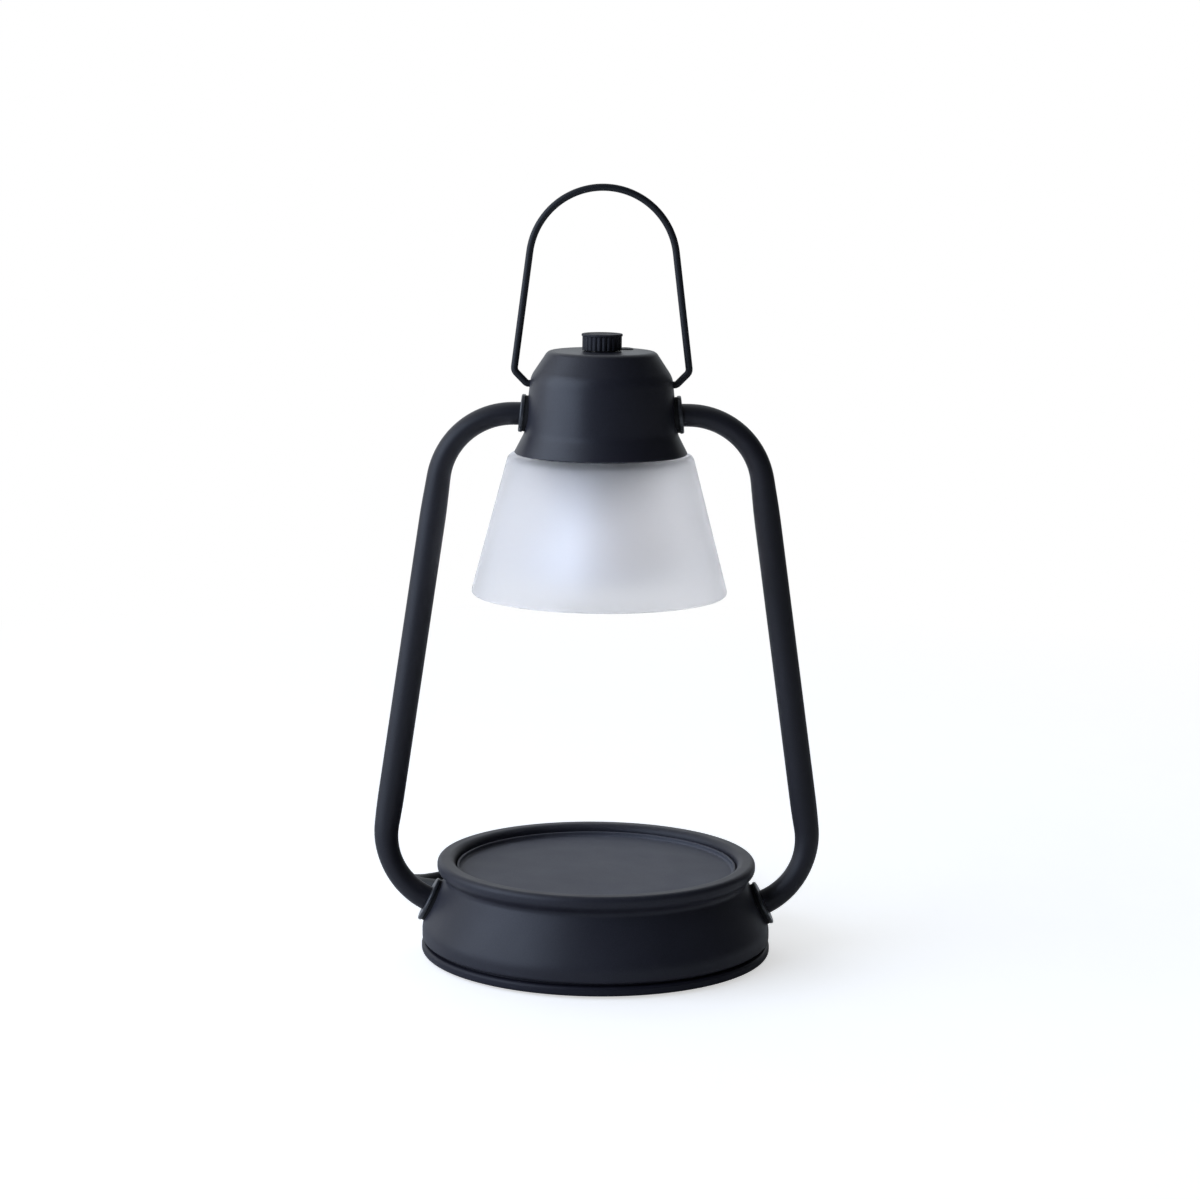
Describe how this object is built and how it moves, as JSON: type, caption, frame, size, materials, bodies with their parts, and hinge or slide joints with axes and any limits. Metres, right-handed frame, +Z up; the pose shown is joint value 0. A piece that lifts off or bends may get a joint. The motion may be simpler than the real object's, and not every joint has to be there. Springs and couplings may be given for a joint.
{
  "type": "candle warmer lamp",
  "caption": "Lantern-shaped candle warmer lamp: weighted round base with a sunk tray, bent side tubes, a frosted glass shade under a bell cap, a fluted dimmer knob and a wire bail.",
  "frame": {"origin": "centre of the base on the table, at the underside of the rubber feet", "axes": "+Z up, +X to the right-hand tube as seen from the front, the front faces -Y"},
  "size_m": [0.1602, 0.205, 0.2741],
  "materials": {
    "shell": "satin powder coat",
    "plate": "satin powder coat",
    "tray": "satin powder coat",
    "tube": "satin powder coat",
    "cap": "satin powder coat",
    "bail": "satin powder coat",
    "trim": "black oxide",
    "zinc": "zinc plated",
    "knob": "satin",
    "foot": "matte",
    "frosted_glass": "frosted",
    "bulb_glass": "clear",
    "bulb_mirror": "polished",
    "ceramic": "ceramic",
    "socket": "satin",
    "shaft": "turned",
    "housing": "satin",
    "wire": "sleeve",
    "cord": "smooth",
    "plug": "satin",
    "blade": "nickel plated"
  },
  "bodies": {
    "lamp": {"base_shell": "shell", "tray_disc": "tray", "bottom_plate": "plate", "plate_screws": "trim", "rubber_feet": "foot", "terminal_block": "ceramic", "cord_bush": "plug", "inlet_lead": "cord", "tube_left": "tube", "tube_right": "tube", "base_washers": "trim", "base_gaskets": "foot", "base_nuts": "zinc", "cap_washers": "trim", "cap_gaskets": "foot", "cap_nuts": "zinc", "tube_lead": "wire", "lamp_cap": "cap", "socket_bracket": "zinc", "bracket_screw": "trim", "socket_screws": "zinc", "lamp_socket": "socket", "socket_leads": "wire", "shade_ring": "socket", "glass_shade": "frosted_glass", "bulb_base": "ceramic", "bulb_pins": "shaft", "bulb_reflector": "bulb_mirror", "bulb_capsule": "bulb_glass", "bulb_lens": "bulb_glass", "dimmer_body": "housing", "dimmer_nut": "zinc", "power_cord": "cord", "cord_coil": "cord", "plug_body": "plug", "plug_blades": "blade"},
    "bail": {"bail_handle": "bail", "bail_retainers": "trim"},
    "knob": {"control_knob": "knob", "knob_shaft": "shaft"}
  },
  "joints": [
    {"name": "bail_swing", "type": "hinge", "parent": "lamp", "child": "bail", "pos_m": [0, 0, 0.2045], "axis": [1, 0, 0], "range_deg": [-135, 135]},
    {"name": "knob_turn", "type": "hinge", "parent": "lamp", "child": "knob", "pos_m": [0, 0, 0.219], "axis": [0, 0, 1], "range_deg": [-270, 0]}
  ]
}
